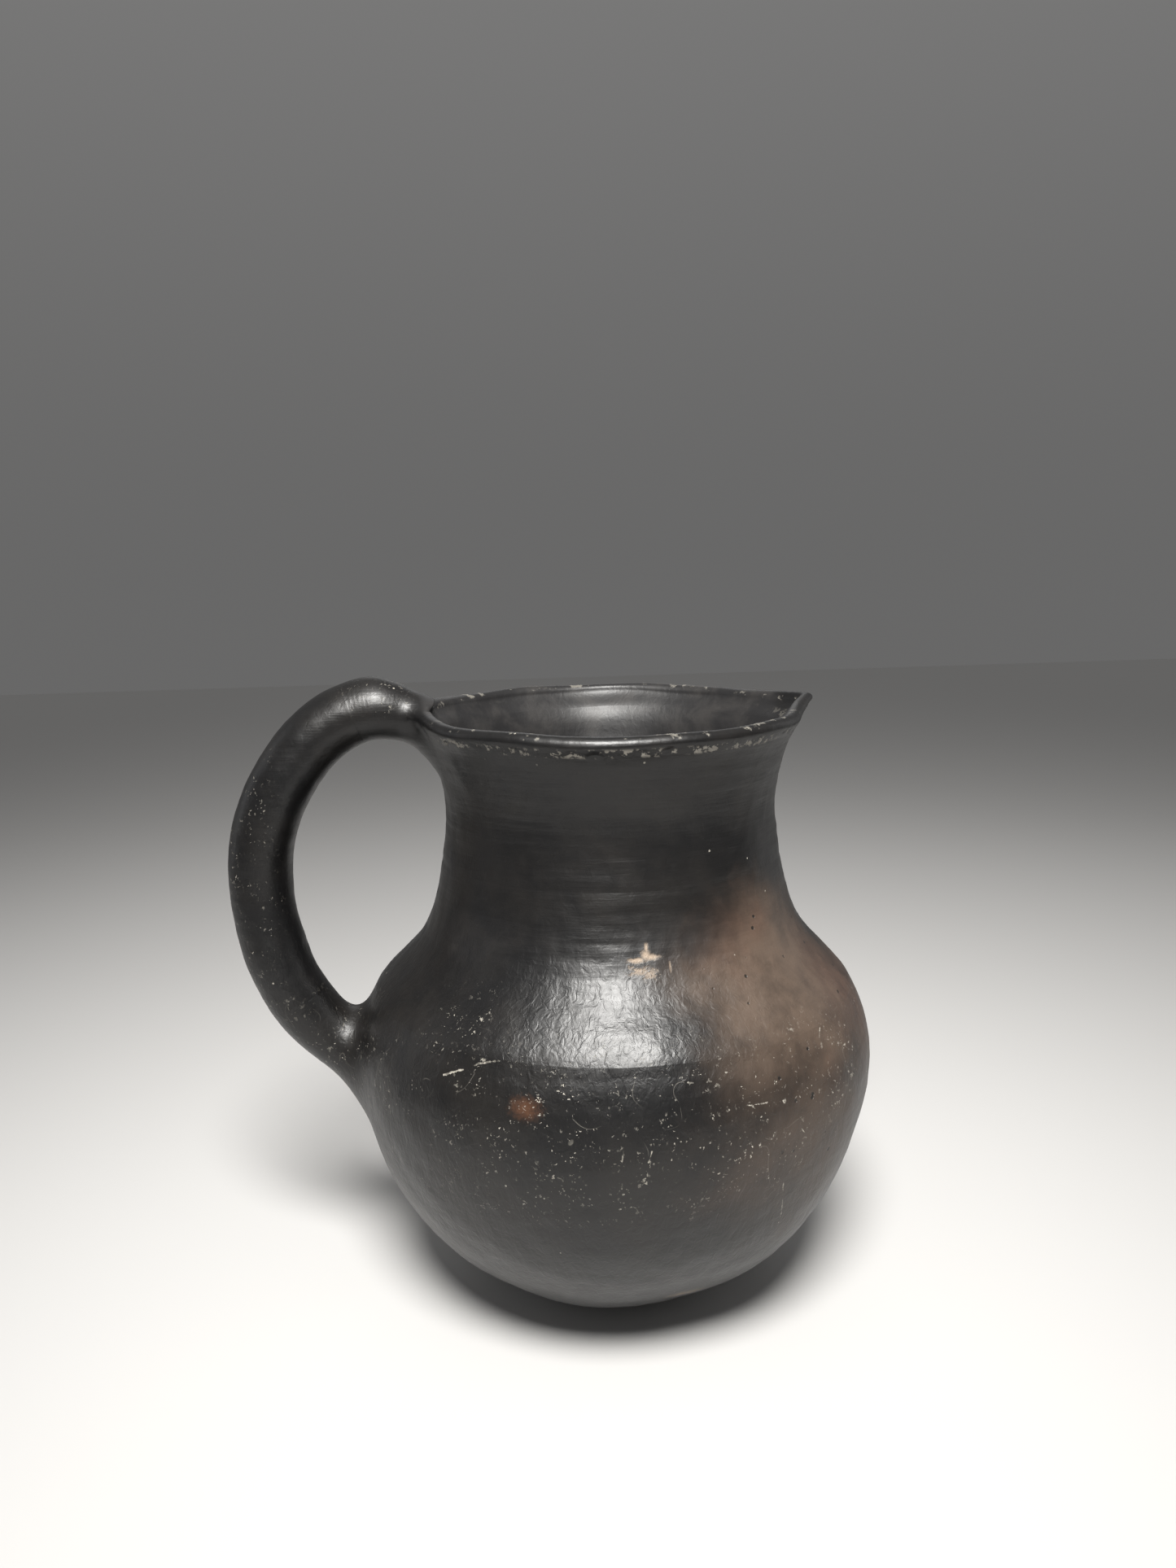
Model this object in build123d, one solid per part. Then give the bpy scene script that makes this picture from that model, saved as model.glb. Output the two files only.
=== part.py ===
from build123d import *

from math import atan2, cos, radians, sin
import os

# Burnished black clay jug, modelled as the pieces of clay that its potter joins, in millimetres.
# +Z is up and the origin is the middle of the flat that the jug stands on. The spout points along +X
# and the handle is on the -X side. Radii are to the outside of the wall unless a name says otherwise.

# Body, from the ground up
foot_radius = 20.0
bowl_foot_radius = 40.0
bowl_foot_height = 6.8
bowl_low_radius = 58.0
bowl_low_height = 17.8
bowl_mid_radius = 86.0
bowl_mid_height = 50.0
belly_radius = 97.5
belly_height = 92.0
seam_radius = 90.0  # where the shoulder is luted to the moulded bowl
seam_height = 122.0
nape_radius = 74.5  # where the neck is luted to the shoulder
nape_height = 140.0
neck_joint_radius = 63.7
neck_joint_height = 171.0
neck_radius = 61.8  # the narrowest place
neck_height = 192.0
rim_radius = 71.5
rim_height = 226.0
lip_height = 7.0  # the finishing coil round the mouth

# Spout: the lip is pinched outwards and up
spout_reach = 79.5
spout_half_angle = 30.0
spout_lift = 2.5

# Wall thicknesses
base_wall = 9.0
bowl_wall = 7.5
shoulder_wall = 7.0
neck_wall = 6.5
lip_wall = 6.0

# Joints between coils: each is a bevel that falls towards the inside
slab_radius = 45.0  # the slab that the jug is started on
bevel = 0.8  # fall per unit of radius
lip_bevel = 0.35

# Handle
handle_thickness = 22.8  # in the plane of the handle
handle_width = 25.4
crest_rise = 1.9  # middle of the coil above the rim at its highest
crest_reach = 13.6  # from the rim out to the highest place
grip_reach = 129.9  # axis of the jug to the middle of the coil at its furthest
grip_height = 165.0
foot_of_handle_height = 92.0
lower_bend_reach = 114.9
lower_bend_height = 115.2

# Luting clay wiped round the roots of the handle
luting_start = 1.0  # thickness where it begins on the handle
top_root_low = 197.0
top_root_width = 42.0
low_root_low = 58.0
low_root_high = 110.0
low_root_width = 56.0
root_depth = 3.0  # how far a root is taken into the wall before it is trimmed to the wall's face

big = 200.0


def spline_in_section(points, tangents=None):
    """A curve in the half plane of radius and height, drawn on XZ."""
    flat = [(radius, 0, height) for radius, height in points]
    if tangents is None:
        return Edge.make_spline(flat)
    return Edge.make_spline(flat, tangents=[(r, 0, z) for r, z in tangents])


def line_in_section(start, end):
    return Edge.make_line((start[0], 0, start[1]), (end[0], 0, end[1]))


def bowl_curve():
    points = [
        (foot_radius, 0),
        (bowl_foot_radius, bowl_foot_height),
        (bowl_low_radius, bowl_low_height),
        (bowl_mid_radius, bowl_mid_height),
        (belly_radius, belly_height),
        (seam_radius, seam_height),
    ]
    return spline_in_section(points, [(1, 0.1), (-0.42, 1)])


def shoulder_curve():
    points = [(seam_radius, seam_height), (nape_radius, nape_height)]
    return spline_in_section(points, [(-0.62, 1), (-0.75, 1)])


def neck_curve():
    points = [(nape_radius, nape_height), (neck_joint_radius, neck_joint_height)]
    return spline_in_section(points, [(-0.75, 1), (-0.1, 1)])


outer_curves = [bowl_curve(), shoulder_curve(), neck_curve()]


def along_at_height(curve, height):
    low, high = 0.0, 1.0
    for _ in range(40):
        middle = (low + high) / 2
        if (curve @ middle).Z < height:
            low = middle
        else:
            high = middle
    return low


def radius_at(height):
    """Outer radius of the turned part of the wall at a height."""
    curve = next(c for c in outer_curves if (c @ 1).Z >= height)
    return (curve @ along_at_height(curve, height)).X


def inner_point(curve, along, wall):
    """The point of the inner face across the wall from a place on an outer curve."""
    point, direction = curve @ along, curve % along
    return (point.X - direction.Z * wall, point.Z + direction.X * wall)


neck_joint_outside = (neck_joint_radius, neck_joint_height)
neck_joint_inside = (neck_joint_radius - neck_wall, neck_joint_height - bevel * neck_wall)


def inner_curve():
    bowl, shoulder, neck = outer_curves
    points = [
        (0, base_wall),
        inner_point(bowl, 0.12, base_wall),
        inner_point(bowl, 0.45, bowl_wall),
        inner_point(bowl, 0.75, bowl_wall),
        inner_point(shoulder, 0.3, shoulder_wall),
        inner_point(neck, 0.3, shoulder_wall),
        neck_joint_inside,
    ]
    return spline_in_section(points, [(1, 0), (-0.1, 1)])


def turned(outer, inner):
    """A full turn of the face between the axis or an inner curve and an outer curve."""
    return revolve(Face(Wire([*outer, *inner])), Axis.Z, 360)


def body_wall():
    """Wall of the body up to the neck joint."""
    foot = line_in_section((0, 0), (foot_radius, 0))
    top = line_in_section(neck_joint_outside, neck_joint_inside)
    axis = line_in_section((0, base_wall), (0, 0))
    return turned([foot, *outer_curves, top], [inner_curve(), axis])


def spout_share(angle):
    """1 at the tip of the spout, falling to 0 where the pinch begins."""
    away = min(abs(angle), spout_half_angle) / spout_half_angle
    return (1 - away) ** 2 * (1 + 2 * away)


def mouth_radius(angle):
    """Outside of the lip: a circle, with straight sides running to the tip of the spout."""
    if abs(angle) >= spout_half_angle:
        return rim_radius
    pinch = radians(spout_half_angle)
    side = atan2(spout_reach - rim_radius * cos(pinch), rim_radius * sin(pinch))
    return spout_reach * cos(side) / cos(radians(abs(angle)) - side)


def flare_points(angle, wall):
    """Places up the flared mouth at a distance inside its outer face, from the narrowest place to the lip joint."""
    top = rim_height + spout_lift * spout_share(angle) - lip_wall / 2
    edge = mouth_radius(angle)
    joint = top + lip_wall / 2 - lip_height
    heights = [neck_height + share * (joint - neck_height) for share in (0, 0.35, 0.7, 1)]
    shares = [(height - neck_height) / (top - neck_height) for height in heights]
    return [(neck_radius + (edge - neck_radius) * s**1.7 - wall, h) for s, h in zip(shares, heights)]


def lip_joint_line(angle):
    outside = flare_points(angle, 0)[-1]
    inside = flare_points(angle, neck_wall)[-1]
    return outside, (inside[0], inside[1] - lip_bevel * neck_wall)


def collar_outer(angle):
    return spline_in_section([neck_joint_outside, *flare_points(angle, 0)], [(-0.1, 1), (0.5, 1)])


def collar_section(angle):
    joint_outside, joint_inside = lip_joint_line(angle)
    inner = [neck_joint_inside, *flare_points(angle, neck_wall)[:-1], joint_inside]
    return Wire(
        [
            collar_outer(angle),
            line_in_section(joint_outside, joint_inside),
            spline_in_section(inner[::-1]),
            line_in_section(neck_joint_inside, neck_joint_outside),
        ]
    )


def lip_corners(angle):
    """Outer and inner ends of the rounded top of the lip, and its highest place."""
    edge = mouth_radius(angle)
    top = rim_height + spout_lift * spout_share(angle)
    return (edge, top - lip_wall / 2), (edge - lip_wall, top - lip_wall / 2), (edge - lip_wall / 2, top)


def lip_section(angle):
    outside, inside = lip_joint_line(angle)
    outer_end, inner_end, crown = lip_corners(angle)
    rounded = Edge.make_three_point_arc(*[(r, 0, z) for r, z in (outer_end, crown, inner_end)])
    return Wire(
        [
            line_in_section(outside, outer_end),
            rounded,
            line_in_section(inner_end, inside),
            line_in_section(inside, outside),
        ]
    )


def round_the_mouth(section):
    """A ring with a pinched spout: most of a turn of the plain section, and a loft through the spout."""
    steps = 8
    angles = [spout_half_angle * step / steps for step in range(-steps, steps + 1)]
    spout = Solid.make_loft([section(angle).rotate(Axis.Z, angle) for angle in angles])
    plain = Face(section(spout_half_angle)).rotate(Axis.Z, spout_half_angle)
    ring = Solid.revolve(plain, 360 - 2 * spout_half_angle, Axis.Z)
    return ring.fuse(spout)


def filled_jug():
    """The plain jug filled in, with its mouth plugged, to trim what is luted to its outside."""
    outer_end, inner_end, crown = lip_corners(180)
    above = rim_height + handle_thickness
    outside, _ = lip_joint_line(180)
    outline = [
        line_in_section((0, 0), (foot_radius, 0)),
        *outer_curves,
        collar_outer(180),
        line_in_section(outside, outer_end),
        Edge.make_three_point_arc(*[(r, 0, z) for r, z in (outer_end, crown, inner_end)]),
        line_in_section(inner_end, (inner_end[0], above)),
        line_in_section((inner_end[0], above), (0, above)),
        line_in_section((0, above), (0, 0)),
    ]
    return turned(outline, [])


def below(radius, height, fall):
    """Everything under a bevelled joint that meets the outside at this radius and height."""
    outline = Polyline(
        (0, 0, height - fall * radius),
        (big, 0, height + fall * (big - radius)),
        (big, 0, -big),
        (0, 0, -big),
        close=True,
    )
    return revolve(make_face(outline), Axis.Z, 360)


def slab_joint():
    bowl = outer_curves[0]
    low, high = 0.0, 0.4
    for _ in range(40):
        middle = (low + high) / 2
        if (bowl @ middle).X < slab_radius:
            low = middle
        else:
            high = middle
    return below(slab_radius, (bowl @ low).Z, -bevel)


def seam_joint():
    return below(seam_radius, seam_height, bevel)


def nape_joint():
    return below(nape_radius, nape_height, bevel)


def handle_path():
    """Middle of the handle's coil, from inside the lip over the crest and down to inside the bowl."""
    crest = (rim_radius + crest_reach, rim_height + crest_rise)
    fall = crest[1] - grip_height
    back = grip_reach - crest[0]
    points = [
        (rim_radius - lip_wall - 3.0, rim_height - 0.25 * handle_thickness),
        crest,
        (crest[0] + 0.62 * back, grip_height + 0.72 * fall),
        (crest[0] + 0.90 * back, grip_height + 0.38 * fall),
        (grip_reach, grip_height),
        (grip_reach - 0.25 * (grip_reach - lower_bend_reach), 0.5 * (grip_height + lower_bend_height) - 3.0),
        (lower_bend_reach, lower_bend_height),
        (radius_at(foot_of_handle_height) - bowl_wall * 0.7, foot_of_handle_height),
    ]
    return Edge.make_spline([(-x, 0, z) for x, z in points])


def coil_section(path, along, thickness, width):
    """An oval across the path, with its thickness in the plane of the handle."""
    place = Plane(origin=path @ along, x_dir=(0, 1, 0), z_dir=path % along)
    return place * Ellipse(width / 2, thickness / 2)


def handle_coil(path):
    return sweep(coil_section(path, 0, handle_thickness, handle_width), path=path)


def luting(path, begin, wall_radius, low, high, width):
    """Clay wiped round a root of the handle: it begins thin on the coil and spreads down the wall."""
    thin = 2 * luting_start
    begins = path @ begin
    snug = coil_section(path, begin, handle_thickness + thin, handle_width + thin)
    depth = wall_radius - root_depth
    halfway = Vector((begins.X - depth) / 2, 0, (begins.Z * 1.2 + (low + high) / 2 * 0.8) / 2)
    lean = (path % begin) * 0.5 + Vector(0.5 if (path % begin).X > 0 else -0.5, 0, 0)
    tall = (handle_thickness + thin) * 0.62 + (high - low) * 0.38
    wide = (handle_width + thin) * 0.68 + width * 0.32
    middle = Plane(origin=halfway, x_dir=(0, 1, 0), z_dir=lean) * Ellipse(wide / 2, tall / 2)
    facing = 1 if (path % begin).X > 0 else -1
    flat = Plane(origin=(-depth, 0, (low + high) / 2), x_dir=(0, 1, 0), z_dir=(facing, 0, 0))
    return loft([snug, middle, flat * Ellipse(width / 2, (high - low) / 2)])


body = body_wall()
filled = filled_jug()
path = handle_path()
coil = handle_coil(path)
top_root_high = rim_height + crest_rise + handle_thickness / 2 - 4.0
upper_wad = luting(path, 0.10, neck_radius, top_root_low, top_root_high, top_root_width)
lower_wad = luting(path, 0.84, radius_at(low_root_low), low_root_low, low_root_high, low_root_width)

pieces = {
    "base_slab": body & slab_joint(),
    "lower_bowl": (body - slab_joint()) & seam_joint(),
    "shoulder_band": (body - seam_joint()) & nape_joint(),
    "neck_band": body - nape_joint(),
    "mouth_collar": round_the_mouth(collar_section),
    "lip_coil": round_the_mouth(lip_section),
    "handle": coil - filled,
    "upper_luting": upper_wad - coil - filled,
    "lower_luting": lower_wad - coil - filled,
}
os.makedirs("parts", exist_ok=True)
for name, piece in pieces.items():
    print(name, len(piece.solids()), round(piece.volume), piece.is_valid, flush=True)
    export_step(piece, f"parts/{name}.step")
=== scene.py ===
import bpy
import numpy as np
from mathutils import Matrix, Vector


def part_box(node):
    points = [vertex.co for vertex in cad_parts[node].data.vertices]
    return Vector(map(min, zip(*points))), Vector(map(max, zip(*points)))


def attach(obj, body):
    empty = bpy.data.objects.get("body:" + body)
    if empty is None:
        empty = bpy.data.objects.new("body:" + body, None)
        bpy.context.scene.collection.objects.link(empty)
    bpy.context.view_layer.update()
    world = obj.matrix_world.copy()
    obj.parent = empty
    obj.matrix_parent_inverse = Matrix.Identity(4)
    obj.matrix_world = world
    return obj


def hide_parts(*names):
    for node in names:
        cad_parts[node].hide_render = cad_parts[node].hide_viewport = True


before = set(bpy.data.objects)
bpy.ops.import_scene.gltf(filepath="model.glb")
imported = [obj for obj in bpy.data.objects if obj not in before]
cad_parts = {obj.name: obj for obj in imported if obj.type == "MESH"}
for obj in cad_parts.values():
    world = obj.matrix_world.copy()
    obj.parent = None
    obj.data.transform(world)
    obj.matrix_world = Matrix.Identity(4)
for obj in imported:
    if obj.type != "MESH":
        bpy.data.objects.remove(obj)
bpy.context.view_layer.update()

# Shapes are worked out in millimetres and turned to metres when their mesh is made.
# +Z is up, the spout is at +X and the handle at -X.
metre = 0.001


def corners(node):
    # the lowest and highest corner of a CAD piece's box
    low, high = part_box(node)
    return np.array(low) / metre, np.array(high) / metre


spoutReach, rimRadius, lipTop = corners("lip_coil")[1]
spoutAboveRim = 2.5  # the tip of the spout is the top of the lip's box
rimTop = lipTop - spoutAboveRim
bellyRadius = corners("lower_bowl")[1][1]
seamHeight = corners("lower_bowl")[1][2]
napeHeight = corners("shoulder_band")[1][2]
neckJointHeight = corners("neck_band")[1][2]
slabRadius = corners("base_slab")[1][0]
gripReach = -corners("handle")[0][0]
print("frame read: rim", round(rimTop, 1), "belly", round(bellyRadius, 1), "grip", round(gripReach, 1))

jug = {
    "columns": 480,
    "rowStep": 1.0,
    "innerRowStep": 3.2,
    "lipRowStep": 0.6,
    # radius and height along the outside, below the belly joint and above it
    "bowl": [
        (18, 0),
        (23, 0.5),
        (30, 2.6),
        (40, 7.0),
        (49, 12.0),
        (58, 18.0),
        (66, 24.6),
        (74, 32.6),
        (86.2, 50),
        (93.9, 70),
        (bellyRadius, 91),
        (95.6, 108.5),
        (90, seamHeight),
    ],
    "upper": [
        (90, seamHeight),
        (74.6, napeHeight),
        (66.8, 155.5),
        (63.5, neckJointHeight),
        (61.8, 192),
        (64.6, 207),
        (68.9, rimTop - 7.5),
        (rimRadius, rimTop - 3),
    ],
    "foot": [[0, 0.3], [12, 0.15]],  # the middle of the foot is a little hollow
    "insideHeights": (215, 204, 192, 180, 168, 155, 140, 128, 112, 91, 70, 50, 32.6, 18, 12),
    "wall": (7.5, 6.5),  # thickness at the belly and at the neck
    "floor": 9.0,
    "lipWall": 6.0,
    "bevel": {"seam": 5.2, "nape": 5.0, "neck": 5.2},  # how much lower a joint is inside than outside
    "lipJoint": (7.0, 9.2),  # below the rim, outside and inside
    "slabJointInside": 15.0,
    "lean": 2.7,  # the rim is lower at the front and higher at the back
    "flareFrom": 192.0,
    "spoutPinch": 24.0,  # degrees from the tip of the spout to where its sides leave the round
    "spoutTipSoftness": 0.35,
    "spoutLift": 2.2,
    "handleLift": 3.2,
    "shoulderHollow": 0.015,
    "seamRidge": 0.12,
    "neckGroove": 0.22,
    "slowWobble": 0.42,
    "quickWobble": 0.09,
    "facets": 0.05,
    "strokes": 0.034,
    "insideWipes": 0.22,
    "chipDepth": 0.45,
}
lipRound = jug["lipWall"] / 2


def smooth(low, high, x):
    # 0 up to low, 1 from high on, with a soft S between them
    t = np.clip((x - low) / (high - low), 0, 1)
    return t * t * (3 - 2 * t)


def splineThrough(points, first, last, count):
    # A cubic curve through the points, leaving along first and arriving along last. The speed at each
    # point comes from a row of equations that keep the bend the same on both sides of it.
    p = np.array(points, float)
    step = np.linalg.norm(np.diff(p, axis=0), axis=1)
    knots = np.concatenate([[0], np.cumsum(step)])
    size = len(p)
    rows = np.eye(size)
    right = np.zeros_like(p)
    right[0] = np.array(first) / np.linalg.norm(first)
    right[-1] = np.array(last) / np.linalg.norm(last)
    i = np.arange(1, size - 1)
    rows[i, i - 1], rows[i, i], rows[i, i + 1] = step[i], 2 * (step[i - 1] + step[i]), step[i - 1]
    slope = np.diff(p, axis=0) / step[:, None]
    right[i] = 3 * (step[i, None] * slope[i - 1] + step[i - 1, None] * slope[i])
    speed = np.linalg.solve(rows, right)
    at = np.linspace(0, knots[-1], count)
    k = np.clip(np.searchsorted(knots, at, side="right") - 1, 0, size - 2)
    h = step[k][:, None]
    t = (at - knots[k])[:, None] / h
    return (
        (2 * t**3 - 3 * t**2 + 1) * p[k]
        + (t**3 - 2 * t**2 + t) * h * speed[k]
        + (3 * t**2 - 2 * t**3) * p[k + 1]
        + (t**3 - t**2) * h * speed[k + 1]
    )


def ripples(place, size, seed, waves=14):
    # Many sine waves in random directions, of about one length, added up. Roughly -1 to 1.
    dice = np.random.default_rng(seed)
    way = dice.normal(size=(waves, 3))
    way /= np.linalg.norm(way, axis=1)[:, None]
    length = size * dice.uniform(0.7, 1.5, waves)
    start = dice.uniform(0, 2 * np.pi, waves)
    total = 0
    for direction, each, begin in zip(way, length, start):
        total = total + np.sin(place @ direction * (2 * np.pi / each) + begin)
    return total / np.sqrt(waves)


# The wall as one line in radius and height: the outside from the middle of the foot to the rim, over
# the lip, and down the inside to the middle of the floor.
bowl = splineThrough(jug["bowl"], (1, 0), (-0.54, 1), 900)
upper = splineThrough(jug["upper"], (-0.64, 1), (0.45, 1), 800)
turn = np.linspace(0, np.pi, 60)
lipMiddle = rimRadius - lipRound
crownHeight = rimTop - lipRound + lipRound * np.sin(turn) ** 0.9
crown = np.stack([lipMiddle + lipRound * np.cos(turn), crownHeight], 1)


def acrossWall(line, heights):
    # the inner face: each place on the outside, moved in at right angles by the wall's thickness
    way = np.gradient(line, axis=0)
    way /= np.linalg.norm(way, axis=1)[:, None]
    thick = np.interp(line[:, 1], (seamHeight, neckJointHeight), jug["wall"])[:, None]
    moved = line - np.stack([way[:, 1], -way[:, 0]], 1) * thick
    picks = [int(np.argmin(np.abs(line[:, 1] - height))) for height in heights]
    return moved[picks]


outside = np.concatenate([bowl, upper[1:]])
underLip = (rimRadius - jug["lipWall"], rimTop - lipRound)
floorPoints = (22, jug["floor"] + 0.6), (0, jug["floor"])
insidePoints = [underLip, *acrossWall(outside, jug["insideHeights"]), *floorPoints]
inside = splineThrough(insidePoints, (-0.4, -1), (-1, 0), 1800)
wallLine = np.concatenate([jug["foot"], outside, crown[1:], inside[1:]])
wallAt = np.concatenate([[0], np.cumsum(np.linalg.norm(np.diff(wallLine, axis=0), axis=1))])
wallWay = np.gradient(wallLine, wallAt, axis=0)
wallWay /= np.linalg.norm(wallWay, axis=1)[:, None]
wallFacing = np.stack([wallWay[:, 1], -wallWay[:, 0]], 1)  # away from the clay
crownAt = wallAt[len(jug["foot"]) + len(outside) + len(turn) // 2]
print("wall line is", round(wallAt[-1]), "mm long")


def along(height, isInside=False):
    # how far along the wall line a height is, on its outside or its inside
    if isInside:
        part = wallAt > crownAt
        return np.interp(-height, -wallLine[part, 1], wallAt[part])
    part = (wallAt < crownAt) & (wallAt > 20)
    return np.interp(height, wallLine[part, 1], wallAt[part])


def mouthRadius(angle):
    # Two straight sides, each touching the round rim, meet at the tip of the spout. The lesser of the
    # two counts, and the logarithm of their exponentials added up softens the corner between them.
    pinch = np.radians(jug["spoutPinch"])
    side = rimRadius / np.cos(np.clip(pinch - np.abs(angle), 0, None))
    other = rimRadius / np.cos(np.clip(pinch + np.abs(angle), None, 1.35))
    soft = jug["spoutTipSoftness"]
    both = -soft * np.log(np.exp(-(side - rimRadius) / soft) + np.exp(-(other - rimRadius) / soft))
    reach = (spoutReach - rimRadius) / (1 / np.cos(pinch) - 1) / rimRadius
    return rimRadius + np.maximum(both, 0) * reach


def rise(angle, height):
    # how much higher a place is than on a plain turned jug: the rim leans and is lifted at the spout and
    # at the handle, less and less down the neck
    toSpout = smooth(0.62, 0, np.abs(angle))
    toHandle = smooth(0.55, 0, np.pi - np.abs(angle))
    uneven = 0.35 * np.sin(5 * angle + 0.7) + 0.22 * np.sin(9 * angle + 2.1)
    lift = jug["lean"] * np.sin(angle) + jug["spoutLift"] * toSpout + jug["handleLift"] * toHandle
    return (lift + uneven) * smooth(175, rimTop - 2, height)


def outOfRound(angle, height):
    # a share of the radius: the jug is not quite round, and its shoulder is hollow under the handle
    underHandle = smooth(1.0, 0.3, np.pi - np.abs(angle))
    hollow = jug["shoulderHollow"] * np.exp(-(((height - 137) / 13) ** 2)) * underHandle
    oval = 0.0035 * np.sin(2 * angle + 0.6 + height / 90)
    threeSided = 0.002 * np.sin(3 * angle + 2.0 - height / 60)
    return 1 + oval + threeSided - hollow


def slowPush(place, height):
    # the low swells of a wall made by hand
    slow = jug["slowWobble"] * ripples(place, 55, 1) * smooth(0, 20, height)
    return slow + jug["quickWobble"] * ripples(place, 19, 2)


def handMarks(place, at, angle, radius, height):
    # How far the hand's marks push the wall out. Outside: facets of the burnishing, strokes round the
    # neck and slanting ones on the shoulder, a ridge and a groove at the belly joint, a groove at the
    # neck joint, and chips under the lip. Inside: broad wipes.
    out = (at < crownAt).astype(float)
    stroke = place * np.array([1 / 26, 1 / 26, 1 / 4.2])
    slantHeight = place[..., 2] + radius * angle * 0.5
    slant = np.stack([place[..., 0] / 12, place[..., 1] / 12, slantHeight / 6], -1)
    onNeck = smooth(136, 150, height) * smooth(222, 214, height)
    onShoulder = smooth(90, 106, height) * smooth(148, 136, height)
    push = out * jug["facets"] * ripples(place, 6.5, 3, 20)
    push = push + out * jug["strokes"] * (0.25 + onNeck) * ripples(stroke, 1, 4, 18)
    push = push + out * jug["strokes"] * 0.45 * onShoulder * ripples(slant, 1, 5, 18)
    uneven = 0.65 + 0.35 * ripples(place, 40, 6)
    for raised, middle, reach in (
        (jug["seamRidge"], seamHeight + 0.4, 2.4),
        (jug["seamRidge"] * -0.7, seamHeight - 3.0, 1.8),
        (-jug["neckGroove"], neckJointHeight, 1.4),
    ):
        push = push + out * raised * uneven * np.exp(-(((height - middle) / reach) ** 2))
    wipe = place * np.array([1 / 60, 1 / 60, 1 / 13])
    belowRim = smooth(rimTop, rimTop - 12, height)
    push = push + (1 - out) * jug["insideWipes"] * ripples(wipe, 1, 7) * belowRim
    edge = np.exp(-(((at - along(rimTop - 5.2)) / 1.3) ** 2))
    return push - edge * jug["chipDepth"] * smooth(0.5, 1.4, ripples(place, 5, 8, 20))


def jugSurface(angle, at, raised=0.0):
    # Place on the jug for an angle round it and a distance along the wall line. The mouth is drawn
    # out to the spout, the rim leans, and small waves leave it as a hand would.
    angle, at = np.broadcast_arrays(angle, at)
    angle = (angle + np.pi) % (2 * np.pi) - np.pi
    radius, height = np.interp(at, wallAt, wallLine[:, 0]), np.interp(at, wallAt, wallLine[:, 1])
    facingR, facingZ = np.interp(at, wallAt, wallFacing[:, 0]), np.interp(at, wallAt, wallFacing[:, 1])
    size = np.hypot(facingR, facingZ)
    facingR, facingZ = facingR / size, facingZ / size
    upFlare = (height - jug["flareFrom"]) / (rimTop - (jug["flareFrom"] + lipRound))
    radius = radius + np.clip(upFlare, 0, 1.05) ** 1.7 * (mouthRadius(angle) - rimRadius)
    height = height + rise(angle, height)
    radius = radius * outOfRound(angle, height)
    place = np.stack([radius * np.cos(angle), radius * np.sin(angle), height], -1)
    push = slowPush(place, height) + handMarks(place, at, angle, radius, height) + raised
    place[..., 0] += push * facingR * np.cos(angle)
    place[..., 1] += push * facingR * np.sin(angle)
    place[..., 2] += push * facingZ
    place[..., 2] = np.where(height < 0.9, np.maximum(place[..., 2], 0.0), place[..., 2])
    return place


def gridMesh(name, node, points, closed=False, poles=None, sharpRows=()):
    # Rows run along the piece and columns round it. The last column meets the first. The last row meets
    # the first if the piece is closed; otherwise each end is gathered to a pole.
    rows, columns = points.shape[:2]
    ids = np.arange(rows * columns).reshape(rows, columns)
    lower = ids if closed else ids[:-1]
    upper = np.roll(ids, -1, 0) if closed else ids[1:]
    quads = np.stack([lower, np.roll(lower, -1, 1), np.roll(upper, -1, 1), upper], -1).reshape(-1, 4)
    vertices = points.reshape(-1, 3)
    faces = quads.tolist()
    if poles is not None:
        vertices = np.concatenate([vertices, poles])
        first, last = rows * columns, rows * columns + 1
        faces += np.stack([np.roll(ids[0], -1), ids[0], np.full(columns, first)], -1).tolist()
        faces += np.stack([ids[-1], np.roll(ids[-1], -1), np.full(columns, last)], -1).tolist()
    mesh = bpy.data.meshes.new(name)
    mesh.from_pydata((vertices * metre).tolist(), [], faces)
    mesh.update(calc_edges=True)
    mesh.polygons.foreach_set("use_smooth", np.ones(len(mesh.polygons), bool))
    if len(sharpRows):
        ends = np.empty(len(mesh.edges) * 2, int)
        mesh.edges.foreach_get("vertices", ends)
        ends = ends.reshape(-1, 2) // columns
        sharp = (ends[:, 0] == ends[:, 1]) & np.isin(ends[:, 0], np.array(sharpRows) % rows)
        mesh.attributes.new("sharp_edge", "BOOLEAN", "EDGE").data.foreach_set("value", sharp)
    mesh.validate()
    piece = bpy.data.objects.new(name, mesh)
    bpy.context.scene.collection.objects.link(piece)
    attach(piece, "root")
    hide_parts(node)
    print("made", name, len(mesh.polygons), "faces")
    return piece


def steps(first, last, step):
    # evenly spaced distances from first to last, about a step apart, as a column
    return np.linspace(first, last, max(3, int(round(abs(last - first) / step)) + 1))[:, None]


# the bevelled joints, as distances along the outside and along the inside
underside = bowl[:400, 0]
joints = {
    "slab": (
        wallAt[len(jug["foot"]) + int(np.argmin(np.abs(underside - slabRadius)))],
        along(jug["slabJointInside"], True),
    ),
    "lip": (along(rimTop - jug["lipJoint"][0]), along(rimTop - jug["lipJoint"][1], True)),
}
for joint, height in (("seam", seamHeight), ("nape", napeHeight), ("neck", neckJointHeight)):
    joints[joint] = along(height), along(height - jug["bevel"][joint], True)
roundJug = np.linspace(-np.pi, np.pi, jug["columns"], endpoint=False)[None]


def jointFace(first, last):
    # the two rows across a joint, a third and two thirds of the way from one row to the other
    share = np.array([1 / 3, 2 / 3])[:, None, None]
    return first * (1 - share) + last * share


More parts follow.
